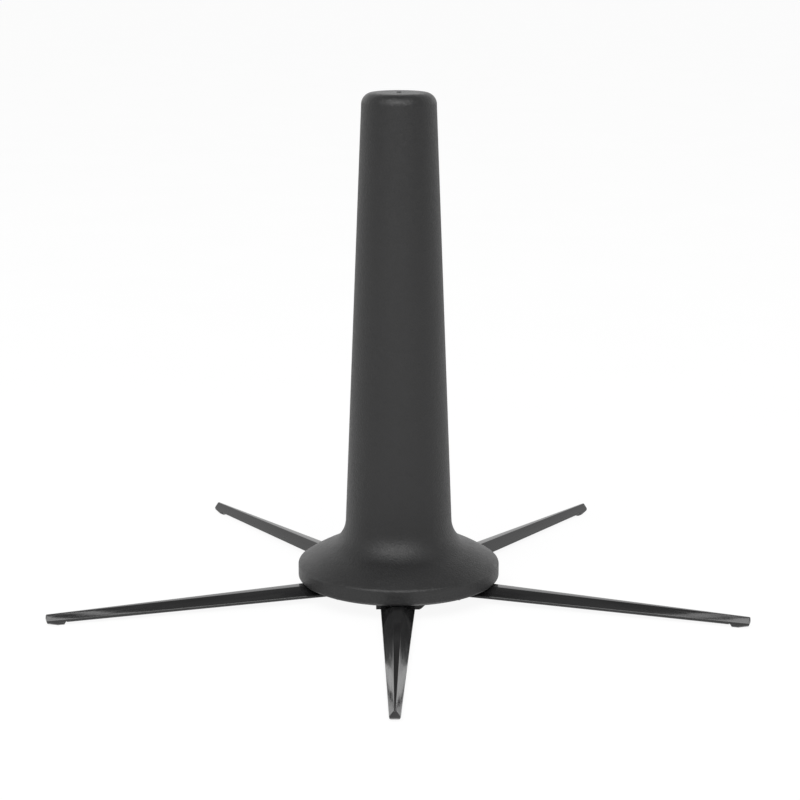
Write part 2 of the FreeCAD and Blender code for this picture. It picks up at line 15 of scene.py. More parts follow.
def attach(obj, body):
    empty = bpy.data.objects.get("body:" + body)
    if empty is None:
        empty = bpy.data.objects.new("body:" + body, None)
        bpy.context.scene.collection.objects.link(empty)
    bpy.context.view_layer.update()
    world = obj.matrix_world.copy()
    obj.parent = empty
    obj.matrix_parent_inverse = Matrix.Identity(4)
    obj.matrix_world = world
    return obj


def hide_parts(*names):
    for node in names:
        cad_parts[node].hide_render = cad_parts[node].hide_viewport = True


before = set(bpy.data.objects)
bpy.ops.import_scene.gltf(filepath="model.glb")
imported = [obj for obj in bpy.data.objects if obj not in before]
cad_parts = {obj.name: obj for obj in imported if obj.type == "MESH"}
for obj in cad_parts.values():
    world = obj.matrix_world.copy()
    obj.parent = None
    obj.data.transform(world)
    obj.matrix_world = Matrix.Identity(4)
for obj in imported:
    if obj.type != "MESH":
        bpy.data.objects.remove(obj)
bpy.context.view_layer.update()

random.seed(7)

MM = 0.001
LEG_PITCH = 360.0 / 5
# each leg's turn about Z from the front, in degrees
LEG_TURNS = {
    "front": 0.0,
    "front_right": LEG_PITCH,
    "back_right": 2 * LEG_PITCH,
    "back_left": -2 * LEG_PITCH,
    "front_left": -LEG_PITCH,
}
FRONT = -90.0  # degrees from +X to the front, about Z

# the hinge axis of a leg: distance from the peg's axis, and height
PIVOT_X, PIVOT_Z = 15.0, 3.45


# ---------------------------------------------------------------- shader graphs
NOISE_SPAN = (0.3, 0.7)  # the part of a noise's range that holds most of its values
SIGNED = (-1.0, 1.0)


class ShaderTree:
    """An emptied node tree; an input takes either a plain value or a socket."""

    def __init__(self, owner):
        owner.use_nodes = True
        self.tree = owner.node_tree
        self.tree.nodes.clear()

    def add(self, kind, inputs={}, **settings):
        node = self.tree.nodes.new("ShaderNode" + kind)
        for key, value in settings.items():
            setattr(node, key, value)
        for key, value in inputs.items():
            if isinstance(value, bpy.types.NodeSocket):
                self.tree.links.new(value, node.inputs[key])
            else:
                node.inputs[key].default_value = value
        return node

    def mapping(self, vector, scale=(1.0, 1.0, 1.0), rotation=(0.0, 0.0, 0.0)):
        inputs = {"Vector": vector, "Scale": scale, "Rotation": rotation}
        return self.add("Mapping", inputs).outputs["Vector"]

    def coords(self, **mapping):
        return self.mapping(self.add("TexCoord").outputs["Object"], **mapping)

    def noise(self, vector, scale, detail=2.0, rough=0.5):
        inputs = {"Vector": vector, "Scale": scale, "Detail": detail, "Roughness": rough}
        return self.add("TexNoise", inputs).outputs["Fac"]

    def remap(self, value, span=NOISE_SPAN, to=(0.0, 1.0)):
        inputs = {"Value": value, "From Min": span[0], "From Max": span[1],
                  "To Min": to[0], "To Max": to[1]}
        return self.add("MapRange", inputs).outputs["Result"]

    def edges(self, span):
        """0 on flat skin to 1 on convex edges."""
        return self.remap(self.add("NewGeometry").outputs["Pointiness"], span)

    def calc(self, operation, first, second):
        return self.add("Math", {0: first, 1: second}, operation=operation).outputs[0]

    def plus(self, first, second):
        return self.calc("ADD", first, second)

    def minus(self, first, second):
        return self.calc("SUBTRACT", first, second)

    def times(self, first, second):
        return self.calc("MULTIPLY", first, second)

    def mix_color(self, factor, first, second):
        inputs = {0: factor, 6: first, 7: second}
        return self.add("Mix", inputs, data_type="RGBA").outputs[2]

    def mix_shader(self, factor, first, second):
        return self.add("MixShader", {0: factor, 1: first, 2: second}).outputs[0]

    def bump(self, height, distance, strength=1.0, **normal):
        inputs = {"Height": height, "Distance": distance, "Strength": strength, **normal}
        return self.add("Bump", inputs).outputs["Normal"]

    def principled(self, **values):
        """A Principled shader; underscores in the names stand for spaces."""
        inputs = {key.replace("_", " "): value for key, value in values.items()}
        return self.add("BsdfPrincipled", inputs).outputs["BSDF"]


def shade(base, factor, lift=0.0):
    """The base colour made darker or lighter, with alpha."""
    return tuple(min(1.0, x * factor + lift) for x in base) + (1.0,)


# ------------------------------------------------------------------- materials
def moulded_plastic(name, base, rough, grain_depth, grain_size=0.16):
    """Satin moulded plastic: fine grain (in mm), faint flow tone, rubbed edges."""
    mat = bpy.data.materials.new(name)
    g = ShaderTree(mat)
    coords = g.coords()
    fine = g.noise(coords, scale=0.5 / (grain_size * MM), detail=3.0, rough=0.6)
    medium = g.noise(coords, scale=420.0, detail=4.0, rough=0.55)
    flow = g.noise(g.coords(scale=(1.0, 1.0, 0.35)), scale=26.0, detail=3.0)
    # each noise's weight in the tone, which drives both colour and roughness
    fine_tone, medium_tone, flow_tone = (
        g.times(g.remap(value, to=SIGNED), weight)
        for value, weight in ((fine, 0.10), (medium, 0.05), (flow, 0.07)))
    tone = g.plus(fine_tone, g.plus(medium_tone, flow_tone))
    edge = g.edges(span=(0.508, 0.56))

    color = g.mix_color(g.remap(tone, span=(-0.2, 0.2)),
                        shade(base, factor=0.86), shade(base, factor=1.16))
    edge_wear = g.times(edge, 0.45)
    color = g.mix_color(edge_wear, color, shade(base, factor=1.9, lift=0.01))
    tone_rough = g.times(tone, 0.50)
    edge_polish = g.times(edge, 0.06)
    roughness = g.minus(g.plus(rough, tone_rough), edge_polish)
    medium_height = g.times(medium, 0.5)
    normal = g.bump(g.plus(fine, medium_height), distance=grain_depth * MM)
    g.add("OutputMaterial", {"Surface": g.principled(
        Base_Color=color, Roughness=roughness, Normal=normal, IOR=1.5)})
    return mat


def lacquered_cast(name, base, rough, stretch, peel_depth, streak_depth, turn=0.0):
    """Black lacquer on a casting: gloss coat, streaks along the bar, soft orange peel.

    The texture is turned to the leg at `turn` degrees; `stretch` below 1 draws the
    streaks out along it. Depths are in mm.
    """
    mat = bpy.data.materials.new(name)
    g = ShaderTree(mat)
    aligned = g.coords(rotation=(0.0, 0.0, -math.radians(turn)))
    stretched = g.mapping(aligned, scale=(1.0, stretch, 1.0))
    streaks = g.noise(stretched, scale=1500.0, detail=3.0, rough=0.55)
    wide_streaks = g.noise(stretched, scale=520.0)
    peel = g.noise(aligned, scale=330.0)
    dust = g.noise(aligned, scale=2600.0, rough=0.6)

    color = g.mix_color(g.remap(wide_streaks),
                        shade(base, factor=0.8), shade(base, factor=1.35, lift=0.002))
    chips = g.times(g.edges(span=(0.515, 0.60)), g.remap(dust, span=(0.45, 0.62)))
    chip_wear = g.times(chips, 0.35)
    color = g.mix_color(chip_wear, color, shade(base, factor=3.0, lift=0.03))
    streak_rough = g.times(g.remap(streaks, to=SIGNED), 0.05)
    dust_rough = g.times(g.remap(dust, span=(0.35, 0.7)), 0.03)
    roughness = g.plus(g.plus(rough, streak_rough), dust_rough)
    streak_normal = g.bump(streaks, distance=streak_depth * MM, strength=0.6)
    normal = g.bump(peel, distance=peel_depth * MM, strength=0.8, Normal=streak_normal)
    g.add("OutputMaterial", {"Surface": g.principled(
        Base_Color=color, Roughness=roughness, Normal=normal, IOR=1.5,
        Coat_Weight=0.25, Coat_Roughness=0.08, Coat_Normal=normal)})
    return mat


def blackened_steel(name, base, rough):
    """Oxidised steel: mottled, with a little bright wear on the edges."""
    mat = bpy.data.materials.new(name)
    g = ShaderTree(mat)
    coords = g.coords()
    mottle = g.noise(coords, scale=900.0, detail=4.0, rough=0.6)
    fine = g.noise(coords, scale=4200.0, rough=0.6)

    color = g.mix_color(g.remap(mottle), shade(base, factor=0.7), shade(base, factor=1.4))
    edge_wear = g.times(g.edges(span=(0.51, 0.58)), 0.5)
    bright_steel = (0.35, 0.34, 0.33, 1.0)
    color = g.mix_color(edge_wear, color, bright_steel)
    fine_rough = g.times(g.remap(fine, to=SIGNED), 0.08)
    g.add("OutputMaterial", {"Surface": g.principled(
        Base_Color=color, Metallic=0.85, Roughness=g.plus(rough, fine_rough),
        Normal=g.bump(fine, distance=0.006 * MM))})
    return mat


MAT_PEG = moulded_plastic("peg_plastic", base=(0.0147, 0.0147, 0.0150), rough=0.43,
                          grain_depth=0.160, grain_size=0.30)
MAT_COLLAR = moulded_plastic("collar_plastic", base=(0.020, 0.020, 0.0205), rough=0.55,
                             grain_depth=0.016)
MAT_HUB = lacquered_cast("cast_black", base=(0.012, 0.012, 0.0125), rough=0.32,
                         stretch=1.0, peel_depth=0.03, streak_depth=0.0)
MAT_PIN = blackened_steel("pin_steel", base=(0.07, 0.07, 0.075), rough=0.34)
MAT_SCREW = blackened_steel("screw_steel", base=(0.10, 0.10, 0.11), rough=0.30)
MAT_LEG = {
    name: lacquered_cast("leg_black_" + name, base=(0.0135, 0.0135, 0.0138), rough=0.100,
                         stretch=0.05, peel_depth=0.009, streak_depth=0.010, turn=turn)
    for name, turn in LEG_TURNS.items()
}


# ------------------------------------------------------------------ 2D outlines
def lerp(start, end, t):
    return tuple(a + (b - a) * t for a, b in zip(start, end))


def angle_to(centre, point):
    return math.atan2(point[1] - centre[1], point[0] - centre[0])


def arc_points(centre, radius, start, end, steps):
    points = []
    for i in range(steps + 1):
        angle = start + (end - start) * i / steps
        points.append((centre[0] + radius * math.cos(angle),
                       centre[1] + radius * math.sin(angle)))
    return points


def rounded(points, radii, steps, closed=False):
    """An outline with its corners rounded, one radius a corner; 0 keeps it sharp."""
    out = []
    count = len(points)
    for i in range(count):
        corner = Vector(points[i])
        if not closed and i in (0, count - 1):
            out.append(tuple(corner))
            continue
        to_last = Vector(points[i - 1]) - corner
        to_next = Vector(points[(i + 1) % count]) - corner
        last_length, next_length = to_last.length, to_next.length
        to_last.normalize()
        to_next.normalize()
        opening = to_last.angle(to_next)
        radius = radii[i]
        if radius <= 1e-6 or opening > math.pi - 1e-3:
            out.append(tuple(corner))
            continue
        # the arc may use up to just under half of each side
        trim = min(radius / math.tan(opening / 2), last_length * 0.49, next_length * 0.49)
        radius = trim * math.tan(opening / 2)
        bisector = (to_last + to_next).normalized()
        centre = corner + bisector * (radius / math.sin(opening / 2))
        first = corner + to_last * trim - centre
        last = corner + to_next * trim - centre
        sweep = first.angle(last)
        if first.x * last.y - first.y * last.x <= 0:
            sweep = -sweep
        start = math.atan2(first.y, first.x)
        out += arc_points(centre, radius, start, start + sweep, steps)
    return out


# -------------------------------------------------------------- mesh utilities
def set_creases(mesh, sharp):
    mesh.shade_smooth()
    mesh.set_sharp_from_angle(angle=math.radians(sharp))


def mesh_object(name, verts, faces, mat, sharp=35.0):
    """Makes a closed mesh object from millimetre points, smooth with sharp creases."""
    mesh = bpy.data.meshes.new(name)
    mesh.from_pydata([tuple(Vector(v) * MM) for v in verts], [], faces)
    bm = bmesh.new()
    bm.from_mesh(mesh)
    bmesh.ops.remove_doubles(bm, verts=bm.verts, dist=1e-7)
    bmesh.ops.recalc_face_normals(bm, faces=bm.faces)
    bm.to_mesh(mesh)
    bm.free()
    mesh.update()
    set_creases(mesh, sharp)
    mesh.materials.append(mat)
    ob = bpy.data.objects.new(name, mesh)
    bpy.context.scene.collection.objects.link(ob)
    return ob


def lathe(name, profile, segments, mat):
    """Turns a closed (r, z) loop round Z; points on the axis become single poles."""
    verts, rings = [], []
    for r, z in profile:
        first = len(verts)
        if r < 1e-6:
            verts.append((0.0, 0.0, z))
        else:
            for s in range(segments):
                angle = 2 * math.pi * s / segments
                verts.append((r * math.cos(angle), r * math.sin(angle), z))
        rings.append(range(first, len(verts)))
    faces = []
    for ring, after in zip(rings, rings[1:] + rings[:1]):
        if len(ring) == 1 and len(after) == 1:
            continue
        for s in range(segments):
            t = (s + 1) % segments
            if len(ring) == 1:
                faces.append((ring[0], after[s], after[t]))
            elif len(after) == 1:
                faces.append((ring[s], after[0], ring[t]))
            else:
                faces.append((ring[s], after[s], after[t], ring[t]))
    return mesh_object(name, verts, faces, mat, sharp=40.0)


def slabs(name, outline, half_width, mat, turns=(0.0,)):
    """An upright (x, z) outline thickened across Y, once for each turn about Z."""
    verts, faces = [], []
    n = len(outline)
    for turn in turns:
        cos, sin = math.cos(math.radians(turn)), math.sin(math.radians(turn))
        base = len(verts)
        for y in (-half_width, half_width):
            verts += [(x * cos - y * sin, x * sin + y * cos, z) for x, z in outline]
        faces.append(tuple(range(base, base + n)))
        faces.append(tuple(range(base + 2 * n - 1, base + n - 1, -1)))
        for i in range(n):
            j = (i + 1) % n
            faces.append((base + i, base + j, base + n + j, base + n + i))
    return mesh_object(name, verts, faces, mat)


def boolean(target, other, operation):
    """Applies an exact boolean and removes the other object."""
    mod = target.modifiers.new("cut", "BOOLEAN")
    mod.operation = operation
    mod.solver = "EXACT"
    mod.object = other
    bpy.context.view_layer.update()
    depsgraph = bpy.context.evaluated_depsgraph_get()
    result = bpy.data.meshes.new_from_object(target.evaluated_get(depsgraph))
    target.modifiers.clear()
    old = target.data
    target.data = result
    bpy.data.meshes.remove(old)
    other_mesh = other.data
    bpy.data.objects.remove(other)
    bpy.data.meshes.remove(other_mesh)


def tidy(ob, sharp):
    """Welds slivers, drops loose points and sets creases."""
    bm = bmesh.new()
    bm.from_mesh(ob.data)
    bmesh.ops.remove_doubles(bm, verts=bm.verts, dist=2e-7)
    bmesh.ops.dissolve_degenerate(bm, edges=bm.edges, dist=1e-7)
    loose = [v for v in bm.verts if not v.link_faces]
    bmesh.ops.delete(bm, geom=loose, context="VERTS")
    bmesh.ops.recalc_face_normals(bm, faces=bm.faces)
    bm.to_mesh(ob.data)
    bm.free()
    set_creases(ob.data, sharp)


# ------------------------------------------------------------------- the peg
RIM_RADIUS, RIM_BOTTOM = 33.0, 5.33
SHOULDER_START = (RIM_RADIUS, 10.45)  # where the shoulder arc would meet the rim wall
SHOULDER_RADIUS = 60.0
RIM_EASE = 1.3  # radius between the rim wall and the shoulder
COVE_RADIUS = 10.0
CONE_BOTTOM, CONE_TOP = (17.35, 24.65), (11.92, 159.95)  # (r, z)
CROWN_RADIUS, PEG_TOP = 3.72, 163.70
TOP_RINGS = (6.8, 5.0, 3.2, 1.9, 1.15)  # radii of rings on the flat top
RIM_INNER = (30.7, 6.85)  # (r, z) of the step inside the rim

# gate mark, a small raised disc: (r, height above the top)
GATE_MARK = [(0.82, 0.0), (0.76, 0.05), (0.74, 0.16), (0.66, 0.22), (0.4, 0.22), (0.0, 0.22)]

# hollow inside, from the axis down and out to the rim: (r, z), corner radius
BORE = [
    ((0.0, 161.4), 0), ((7.6, 161.4), 0.8), ((9.75, 158.85), 0.9), ((15.32, 28.15), 0.4),
    ((15.32, 20.85), 0.5), ((20.4, 13.75), 2.0), ((27.4, 11.2), 1.6), ((30.7, 8.85), 0.8),
    (RIM_INNER, 0),
]

# stiffening rib in side view: (r, z), corner radius
RIB = [
    ((17.0, 12.85), 0.3), ((23.0, 6.85), 0.5), ((31.2, 6.85), 0), ((31.2, 9.45), 0),
    ((27.9, 11.8), 0), ((20.8, 14.45), 0), ((17.0, 18.95), 0),
]
RIB_HALF_WIDTH = 0.6


def peg_outside():
    """Outer skin from the rim's underside up to the axis, as (r, z)."""
    run, rise = CONE_TOP[0] - CONE_BOTTOM[0], CONE_TOP[1] - CONE_BOTTOM[1]
    length = math.hypot(run, rise)
    out_r, out_z = rise / length, -run / length  # the cone wall's outward normal
    cove = (CONE_BOTTOM[0] + COVE_RADIUS * out_r, CONE_BOTTOM[1] + COVE_RADIUS * out_z)

    # the shoulder's centre: its arc passes the start point and touches the cove
    start_r, start_z = SHOULDER_START
    both = SHOULDER_RADIUS + COVE_RADIUS
    far = math.hypot(cove[0] - start_r, cove[1] - start_z)
    along = (SHOULDER_RADIUS ** 2 - both ** 2 + far ** 2) / (2 * far)
    side = math.sqrt(SHOULDER_RADIUS ** 2 - along ** 2)
    dir_r, dir_z = (cove[0] - start_r) / far, (cove[1] - start_z) / far
    shoulder = (start_r + along * dir_r - side * dir_z, start_z + along * dir_z + side * dir_r)
    touch = lerp(shoulder, cove, SHOULDER_RADIUS / both)

    # the easing touches the rim wall and the shoulder arc
    ease_r = RIM_RADIUS - RIM_EASE
    reach = SHOULDER_RADIUS - RIM_EASE
    ease = (ease_r, shoulder[1] + math.sqrt(reach ** 2 - (ease_r - shoulder[0]) ** 2))
    ease_end = angle_to(shoulder, ease)

    points = rounded(
        [RIM_INNER, (RIM_INNER[0], RIM_BOTTOM), (RIM_RADIUS, RIM_BOTTOM), (RIM_RADIUS, 7.9)],
        [0, 0.18, 1.05, 0], steps=8)[1:-1]
    points += [(RIM_RADIUS, z) for z in (6.9, 7.7, 8.5)]
    points += arc_points(ease, RIM_EASE, 0.0, ease_end, steps=8)
    points += arc_points(shoulder, SHOULDER_RADIUS, ease_end, angle_to(shoulder, touch),
                         steps=26)[1:]
    points += arc_points(cove, COVE_RADIUS, angle_to(cove, touch) % math.tau,
                         angle_to(cove, CONE_BOTTOM) % math.tau, steps=44)[1:]
    cone_steps = 36
    points += [lerp(CONE_BOTTOM, CONE_TOP, i / cone_steps) for i in range(1, cone_steps + 1)]
    crown = (CONE_TOP[0] - CROWN_RADIUS * out_r, PEG_TOP - CROWN_RADIUS)
    points += arc_points(crown, CROWN_RADIUS, angle_to(crown, CONE_TOP), math.pi / 2,
                         steps=22)[1:]
    points += [(r, PEG_TOP) for r in TOP_RINGS]
    points += [(r, PEG_TOP + height) for r, height in GATE_MARK]
    return points


def peg_inside():
    """The bore from the axis to the rim, as (r, z); extra rings keep its faces short."""
    longest, spacing = 9, 6
    soft = rounded(*zip(*BORE), steps=5)
    points = []
    for p, q in zip(soft, soft[1:]):
        points.append(p)
        gap = math.hypot(q[0] - p[0], q[1] - p[1])
        if gap > longest:
            count = int(gap / spacing)
            points += [lerp(p, q, i / count) for i in range(1, count)]
    return points + soft[-1:]


def build_peg():
    peg = lathe("peg", peg_outside() + peg_inside(), 240, MAT_PEG)
    # five ribs under the flange, midway between the legs
    turns = [FRONT + LEG_PITCH * (i + 0.5) for i in range(5)]
    outline = rounded(*zip(*RIB), steps=4, closed=True)
    boolean(peg, slabs("ribs", outline, RIB_HALF_WIDTH, MAT_PEG, turns), "UNION")
    tidy(peg, sharp=40.0)
    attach(peg, "peg")
    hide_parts("peg_shell")


# ------------------------------------------------------------------- the legs
# A leg is built along +X, with Y across it, then turned into place.
ROOT_X, TIP_X = 24.2, 116.3
# half width, ridge half width, top z, z of the facet's outer edge, underside z
ROOT_SECTION = (5.56, 1.63, 5.42, 2.98, 2.12)
TIP_SECTION = (1.60, 0.26, 3.44, 1.72, 0.80)
SOLE_HALF = 1.30      # half width of the flat under the beam
FACET_BOW = 0.007     # crown of the top facets, as a part of their width
BEAM_STEPS, BEAM_STEP = 50, 1.7

HEEL_X, HEEL_LONG = 110.75, 2.0
HEEL_END = HEEL_X + HEEL_LONG
RAMP = 0.8            # length and height of the slope down to the heel
TOE_Z = 0.65
END_ROUND = 0.75      # radius from the sole up to the tip
TOE_X = TIP_X - END_ROUND
END_EASE = 0.36       # easing all round the tip
FOOT_HALF = 1.58
FOOT_EASE = 0.50
# lower edge, from side to sole: inset and height, as parts of FOOT_EASE
FOOT_EDGE = [(0.0, 1.0), (0.10, 0.55), (0.36, 0.20), (0.85, 0.0)]

KNUCKLE_RADIUS, PIN_HOLE_RADIUS = 2.2, 1.30
TONGUE_HALF_WIDTH, HOLE_HALF_LENGTH = 5.2, 7.5


def sole_height(x):
    """The foot's underside: ramp, flat heel, rise to the toe and the rounded end."""
    if x < HEEL_X:
        return min(RAMP, HEEL_X - x)
    if x < HEEL_END:
        return 0.0
    if x < TOE_X:
        return TOE_Z * (x - HEEL_END) / (TOE_X - HEEL_END)
    w = min(1.0, (x - TOE_X) / END_ROUND)
    return TOE_Z + END_ROUND * (1.0 - math.sqrt(max(0.0, 1.0 - w * w)))


def crown_facet(points):
    """Bows the sloping top facet of a (y, z) outline very slightly outwards."""
    out = []
    for p, q in zip(points, points[1:]):
        out.append(p)
        width = math.hypot(q[0] - p[0], q[1] - p[1])
        if width > 0.5 and q[1] < p[1] and p[0] > 0 and q[0] > p[0] + 0.05:
            out_y, out_z = (p[1] - q[1]) / width, (q[0] - p[0]) / width
            for k in range(1, 6):
                t = k / 6.0
                bow = FACET_BOW * width * 4 * t * (1 - t)
                y, z = lerp(p, q, t)
                out.append((y + out_y * bow, z + out_z * bow))
    return out + points[-1:]


def leg_ring(x, foot=0.0, inset=0.0):
    """One closed section of the leg; foot 0..1 blends the beam's sole into the pad."""
    half, ridge, top, side, low = lerp(ROOT_SECTION, TIP_SECTION,
                                       (x - ROOT_X) / (TIP_X - ROOT_X))
    sole = low + (sole_height(x) - low) * foot
    pad_half = SOLE_HALF + (min(FOOT_HALF, half - 0.02) - SOLE_HALF) * foot
    if foot > 0.0:
        low = max(low, sole + FOOT_EASE + 0.01)
    side = max(side, low + 0.04)
    right = crown_facet(rounded(
        [(0.0, top), (ridge, top), (half, side), (half, low), (pad_half, low)],
        [0, min(0.30, ridge * 0.8), 0.32, 0.30, 0], steps=5))
    for i, (edge_in, edge_up) in enumerate(FOOT_EDGE):
        beam_y = 1.28 - 0.17 * i
        pad_y = pad_half - edge_in * FOOT_EASE
        right.append((beam_y + (pad_y - beam_y) * foot, sole + FOOT_EASE * edge_up * foot))
    right += [(0.62, sole), (0.30, sole)]
    left = [(-y, z) for y, z in reversed(right) if y > 1e-9]
    ring = right + [(0.0, sole)] + left
    if inset:
        middle, tall = 0.5 * (top + sole), 0.5 * (top - sole)
        scale_y = max(0.05, (half - inset) / half)
        scale_z = max(0.05, (tall - inset) / tall)
        ring = [(y * scale_y, middle + (z - middle) * scale_z) for y, z in ring]
    return [(x, y, z) for y, z in ring]


def leg_rings():
    """All sections of the beam and its foot, from root to tip."""
    rings = [leg_ring(ROOT_X + BEAM_STEP * i) for i in range(BEAM_STEPS + 1)]
    rings.append(leg_ring(HEEL_X - RAMP - 0.10))
    for k in range(6):
        t = k / 5.0
        rings.append(leg_ring(HEEL_X - RAMP + 0.02 + (RAMP - 0.02) * t, foot=0.25 + 0.75 * t))
    for x in (111.4, 112.1, HEEL_END, 113.5, 114.3, 115.0, TOE_X):
        rings.append(leg_ring(x, foot=1.0))
    # the end: rounded up from the sole, and eased a little all round
    for k in range(1, 9):
        x = TOE_X + END_ROUND * math.sin(math.pi / 2 * k / 8)
        over = max(0.0, (x - (TIP_X - END_EASE)) / END_EASE)
        inset = END_EASE * (1.0 - math.sqrt(max(0.0, 1.0 - over * over)))
        ring = leg_ring(min(x, TIP_X - 0.01), foot=1.0, inset=inset)
        rings.append([(x, y, z) for _, y, z in ring])
    return rings


def build_beam(name, mat):
    """Skins the leg's sections and caps both ends."""
    rings = leg_rings()
    n = len(rings[0])
    faces = []
    for i in range(len(rings) - 1):
        for j in range(n):
            k = (j + 1) % n
            faces.append((i * n + j, i * n + k, (i + 1) * n + k, (i + 1) * n + j))
    faces.append(tuple(reversed(range(n))))
    end = (len(rings) - 1) * n
    faces.append(tuple(range(end, end + n)))
    return mesh_object(name, [p for ring in rings for p in ring], faces, mat)


def tongue_outline():
    """Tongue and round knuckle in side view, as (x, z)."""
    knuckle = arc_points((PIVOT_X, PIVOT_Z), KNUCKLE_RADIUS,
                         math.pi / 2, 3 * math.pi / 2, steps=20)
    bottom, top = PIVOT_Z - KNUCKLE_RADIUS, PIVOT_Z + KNUCKLE_RADIUS
    return knuckle + rounded(
        [(PIVOT_X, bottom), (16.5, bottom), (18.7, 2.14), (24.8, 2.12), (24.8, 5.40),
         (PIVOT_X, top)],
        [0, 0.6, 0.8, 0, 0, 0], steps=4)[1:-1]


def build_leg(name, turn):
    mat = MAT_LEG[name]
    leg = build_beam("leg_" + name + "_cast", mat)
    boolean(leg, slabs("tongue_" + name, tongue_outline(), TONGUE_HALF_WIDTH, mat), "UNION")
    circle = arc_points((PIVOT_X, PIVOT_Z), PIN_HOLE_RADIUS, 0, 2 * math.pi, steps=40)[:-1]
    boolean(leg, slabs("hole_" + name, circle, HOLE_HALF_LENGTH, mat), "DIFFERENCE")
    leg.data.name = leg.name
    leg.data.transform(Matrix.Rotation(math.radians(FRONT + turn), 4, "Z"))
    tidy(leg, sharp=32.0)
    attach(leg, "leg_" + name)
    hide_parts("leg_" + name)


# ------------------------------------------------------------------- the pins
PIN_RADIUS, HEAD_RADIUS = 1.25, 2.1
HEAD_START = 7.02  # the head's underside, from the leg's centre plane
HEAD_HEIGHT, DOME_START = 1.1, 0.22  # above the head's underside
DOME_STEPS = 10


def pin_profile():
    """Pin from its plain end to its domed head, as (r, distance along)."""
    points = [(0.0, -7.0), (0.9, -7.0), (1.1, -6.94), (PIN_RADIUS, -6.75),
              (PIN_RADIUS, HEAD_START), (2.02, HEAD_START), (HEAD_RADIUS, HEAD_START + 0.08)]
    rise = HEAD_HEIGHT - DOME_START
    for k in range(DOME_STEPS):
        angle = math.pi / 2 * k / DOME_STEPS
        points.append((HEAD_RADIUS * math.cos(angle),
                       HEAD_START + DOME_START + rise * math.sin(angle)))
    return points + [(0.0, HEAD_START + HEAD_HEIGHT)]


def build_pin(name, turn):
    pin = lathe("pin_" + name + "_turned", pin_profile(), 48, MAT_PIN)
    # the lathe's axis becomes the leg's cross direction, at the pivot
    pin.data.transform(Matrix.Rotation(math.radians(FRONT + turn), 4, "Z")
                       @ Matrix.Translation(Vector((PIVOT_X, 0.0, PIVOT_Z)) * MM)
                       @ Matrix.Rotation(math.radians(-90.0), 4, "X"))
    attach(pin, "hub")
    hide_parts("pin_" + name)


# ---------------------------------------------------------- the CAD pieces kept
def dress_cad_piece(node, mat):
    """Gives a CAD piece its material and slightly eased edges."""
    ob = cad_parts[node]
    for slot in ob.material_slots:
        slot.material = mat
    if not ob.material_slots:
        ob.data.materials.append(mat)
    bevel = ob.modifiers.new("eased", "BEVEL")
    bevel.width = 0.22 * MM
    bevel.segments = 2
    bevel.limit_method = "ANGLE"
    bevel.angle_limit = math.radians(40)


build_peg()
for leg_name, leg_turn in LEG_TURNS.items():
    build_leg(leg_name, leg_turn)
    build_pin(leg_name, leg_turn)
dress_cad_piece("hub_base", MAT_HUB)
dress_cad_piece("hub_collar", MAT_COLLAR)
dress_cad_piece("collar_screw", MAT_SCREW)


# ------------------------------------------------------------- floor and studio
FLOOR_GLOW = 0.88  # how far the camera sees the floor's own glow instead of its shading
FLOOR_LEFT, FLOOR_RIGHT, FLOOR_FRONT, FLOOR_BACK = -4000, 4000, -4000, 6000
FLOOR_Z = -0.02

# strength of the surrounding light
WORLD_FRONT, WORLD_BACK, WORLD_TOP = 0.52, 1.15, 0.26
WHITE = (1.0, 1.0, 1.0, 1.0)


def floor_material():
    """Pale and matt: nearly white to the camera, with a faint soft shadow."""
    mat = bpy.data.materials.new("studio_floor")
    g = ShaderTree(mat)
    mottle = g.noise(g.coords(), scale=14.0, detail=4.0, rough=0.6)
    matt_color = g.mix_color(mottle, (0.86, 0.86, 0.86, 1.0), (0.90, 0.90, 0.90, 1.0))
    matt = g.principled(Base_Color=matt_color, Roughness=0.85, Specular_IOR_Level=0.15)
    glow_color = g.mix_color(mottle, (0.985, 0.985, 0.985, 1.0), WHITE)
    glow = g.add("Emission", {"Color": glow_color, "Strength": 1.05}).outputs[0]
    to_camera = g.add("LightPath").outputs["Is Camera Ray"]
    upper = g.mix_shader(g.times(to_camera, FLOOR_GLOW), matt, glow)
    # seen from below the floor is clear, so the underside of the stand shows
    clear = g.add("BsdfTransparent").outputs[0]
    from_below = g.add("NewGeometry").outputs["Backfacing"]
    g.add("OutputMaterial", {"Surface": g.mix_shader(from_below, upper, clear)})
    return mat


def build_floor():
    mat = floor_material()
    corners = [(FLOOR_LEFT, FLOOR_FRONT, FLOOR_Z), (FLOOR_RIGHT, FLOOR_FRONT, FLOOR_Z),
               (FLOOR_RIGHT, FLOOR_BACK, FLOOR_Z), (FLOOR_LEFT, FLOOR_BACK, FLOOR_Z)]
    mesh = bpy.data.meshes.new("floor")
    mesh.from_pydata([tuple(Vector(v) * MM) for v in corners], [], [(0, 1, 2, 3)])
    mesh.materials.append(mat)
    ob = bpy.data.objects.new("floor", mesh)
    bpy.context.scene.collection.objects.link(ob)
    return ob


